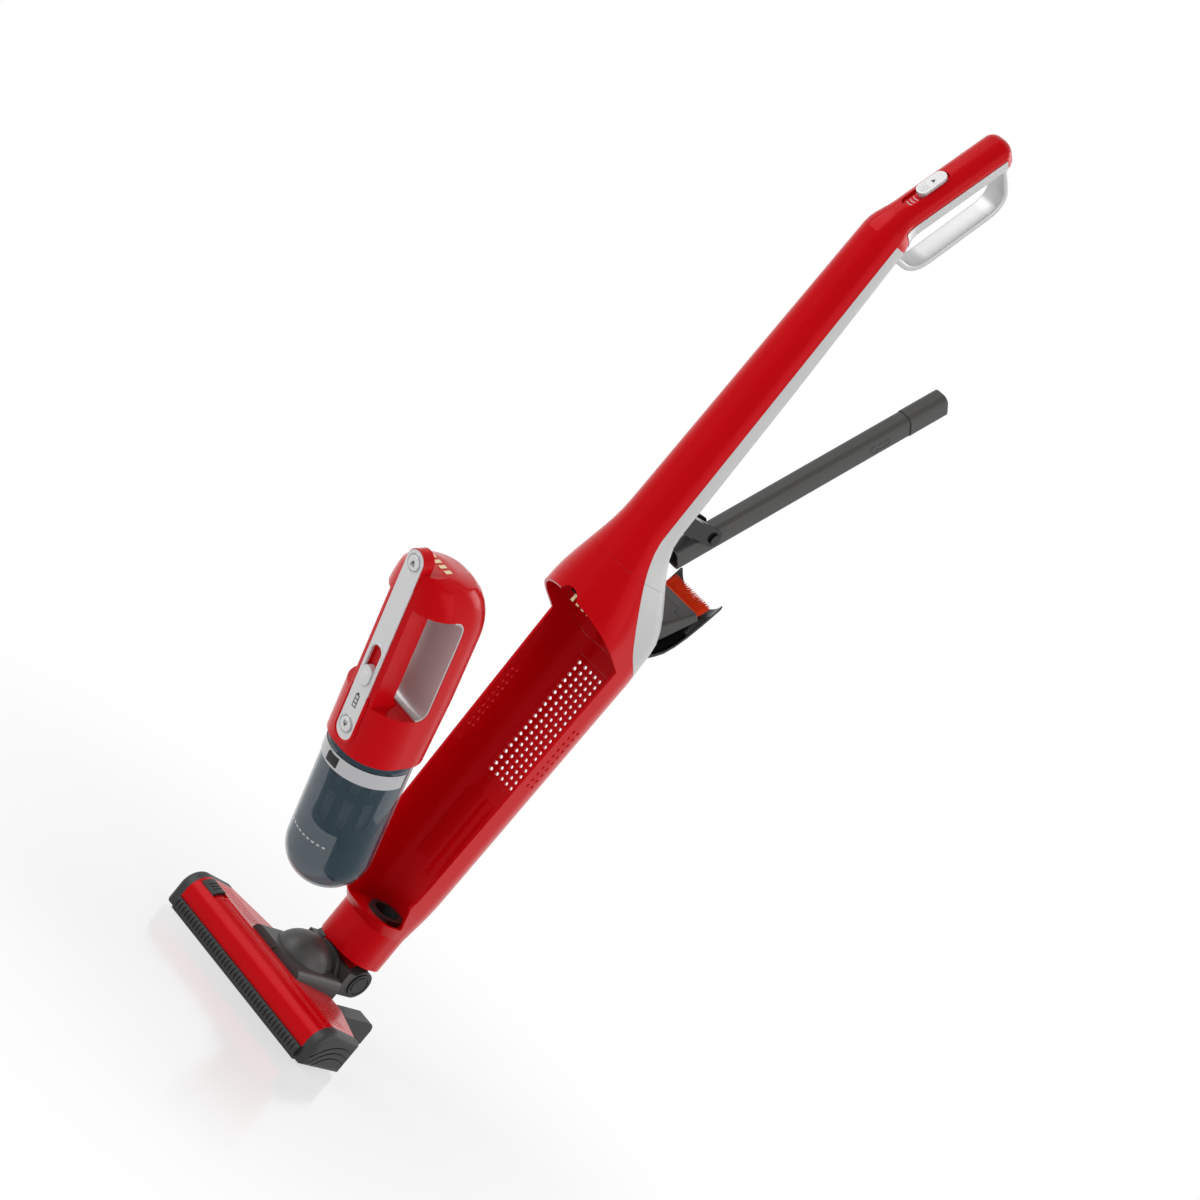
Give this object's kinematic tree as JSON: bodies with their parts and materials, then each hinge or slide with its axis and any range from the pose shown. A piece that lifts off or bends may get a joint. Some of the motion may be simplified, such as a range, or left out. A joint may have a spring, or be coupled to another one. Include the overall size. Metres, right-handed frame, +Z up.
{
  "type": "cordless stick vacuum cleaner",
  "caption": "Upright cordless stick vacuum with a floor nozzle, a handheld cleaner tipped out of its cradle, a crevice tool swung off the tube and an open flap with a dusting brush.",
  "frame": {"origin": "on the floor, at the middle of the nozzle's sole between the roller window and the wheels", "axes": "+Z up along the stick, -Y towards the front of the nozzle, +X to the right seen from the front"},
  "size_m": [0.263, 0.5659, 1.1531],
  "materials": {
    "gloss_red": "high gloss",
    "silver": "satin metallic paint",
    "light_silver": "satin metallic paint",
    "charcoal": "fine matte",
    "black": "gloss",
    "black_matte": "matte",
    "smoke_clear": "clear smoky",
    "steel": "brushed",
    "gold_contact": "satin",
    "bristle": "stiff bristle",
    "rubber": "matte",
    "board": "satin",
    "motor_metal": "satin",
    "cell_wrap": "film",
    "filter": "pleated cloth"
  },
  "bodies": {
    "nozzle": {"nozzle_base": "black_matte", "nozzle_top_cover": "gloss_red", "front_bumper": "rubber", "end_cap_left": "black_matte", "end_cap_right": "black_matte", "neck_saddle": "charcoal", "roller_bushes": "black_matte", "roller_motor": "steel", "drive_belt": "rubber", "wheel_axles": "steel", "nozzle_screws": "steel"},
    "roller": {"roller_core": "black_matte", "roller_fins": "rubber"},
    "motor_pulley": {"motor_pulley": "motor_metal"},
    "wheel_left": {"wheel_left": "rubber"},
    "wheel_right": {"wheel_right": "rubber"},
    "roller_release": {"roller_release_slider": "black_matte"},
    "neck": {"neck_body": "charcoal", "pivot_pin": "steel", "pivot_caps": "black"},
    "stick": {"cradle_foot": "gloss_red", "cradle_shell": "gloss_red", "cradle_hood": "gloss_red", "vent_grille": "gloss_red", "tube_front_shell": "gloss_red", "spine_upper": "silver", "spine_lower": "silver", "handle_grip": "gloss_red", "handle_loop": "silver", "switch_board": "board", "dock_socket": "black_matte", "contact_block": "black", "contact_springs": "gold_contact", "tool_clip": "black", "flap_pin": "steel"},
    "power_slider": {"power_slider": "silver"},
    "crevice_tool": {"crevice_tool": "charcoal", "crevice_collar": "charcoal"},
    "storage_flap": {"storage_flap": "black"},
    "brush": {"brush_body": "charcoal", "brush_bristles": "bristle"},
    "handheld": {"hand_housing": "gloss_red", "grip_lining": "silver", "front_strip": "light_silver", "button_springs": "steel", "vacuum_motor": "motor_metal", "battery_cells": "cell_wrap", "battery_holder": "black_matte", "control_board": "board", "contact_pads": "gold_contact"},
    "release_button": {"release_button": "light_silver"},
    "container_button": {"container_button": "light_silver"},
    "hand_switch": {"hand_switch": "light_silver"},
    "impeller": {"impeller": "black_matte"},
    "container": {"dust_container": "smoke_clear", "container_band": "steel", "inlet_duct": "black_matte", "filter_cage": "black_matte", "filter_element": "filter", "container_seal": "rubber"}
  },
  "joints": [
    {"name": "neck_roll", "type": "hinge", "parent": "nozzle", "child": "neck", "pos_m": [0, 0.013, 0.045], "axis": [0, 1, 0], "range_deg": [-30, 30]},
    {"name": "stick_tilt", "type": "hinge", "parent": "neck", "child": "stick", "pos_m": [0, 0.076, 0.056], "axis": [-1, 0, 0], "range_deg": [0, 80]},
    {"name": "roller_spin", "type": "hinge", "parent": "nozzle", "child": "roller", "pos_m": [0, -0.034, 0.02], "axis": [1, 0, 0], "continuous": true},
    {"name": "motor_spin", "type": "hinge", "parent": "nozzle", "child": "motor_pulley", "pos_m": [0, 0.002, 0.02], "axis": [1, 0, 0], "continuous": true},
    {"name": "wheel_left_spin", "type": "hinge", "parent": "nozzle", "child": "wheel_left", "pos_m": [-0.053, 0.095, 0.013], "axis": [1, 0, 0], "continuous": true},
    {"name": "wheel_right_spin", "type": "hinge", "parent": "nozzle", "child": "wheel_right", "pos_m": [0.053, 0.095, 0.013], "axis": [1, 0, 0], "continuous": true},
    {"name": "roller_release_slide", "type": "slide", "parent": "nozzle", "child": "roller_release", "axis": [1, 0, 0], "range_m": [0, 0.008]},
    {"name": "power_switch", "type": "slide", "parent": "stick", "child": "power_slider", "axis": [0, -0.4384, -0.8988], "range_m": [0, 0.016]},
    {"name": "handheld_dock", "type": "hinge", "parent": "stick", "child": "handheld", "pos_m": [0, -0.045, -0.205], "axis": [1, 0, 0], "range_deg": [-18.5, 0]},
    {"name": "release_press", "type": "slide", "parent": "handheld", "child": "release_button", "axis": [0, 0.9135, 0.4067], "range_m": [0, 0.0025], "stiffness_N_per_m": 200, "deforming": ["button_springs"]},
    {"name": "container_press", "type": "slide", "parent": "handheld", "child": "container_button", "axis": [0, 0.9135, 0.4067], "range_m": [0, 0.0025], "stiffness_N_per_m": 200, "deforming": ["button_springs"]},
    {"name": "hand_switch_slide", "type": "slide", "parent": "handheld", "child": "hand_switch", "axis": [0, -0.4067, 0.9135], "range_m": [0, 0.022]},
    {"name": "container_pull", "type": "slide", "parent": "handheld", "child": "container", "axis": [0, 0.4067, -0.9135], "range_m": [0, 0.06]},
    {"name": "impeller_spin", "type": "hinge", "parent": "handheld", "child": "impeller", "pos_m": [0, -0.13432, 0.31401], "axis": [0, -0.4067, 0.9135], "continuous": true},
    {"name": "tool_swing", "type": "hinge", "parent": "stick", "child": "crevice_tool", "pos_m": [0, 0.04, 0.539], "axis": [-1, 0, 0], "range_deg": [-36, 0]},
    {"name": "flap_open", "type": "hinge", "parent": "stick", "child": "storage_flap", "pos_m": [0, 0.1025, 0.509], "axis": [-1, 0, 0], "range_deg": [-66, 0]},
    {"name": "brush_pull", "type": "slide", "parent": "storage_flap", "child": "brush", "axis": [0, 0.5299, 0.848], "range_m": [0, 0.06]}
  ],
  "couplings": [
    {"joint": "motor_spin", "follows": "roller_spin", "ratio": 1.8}
  ]
}
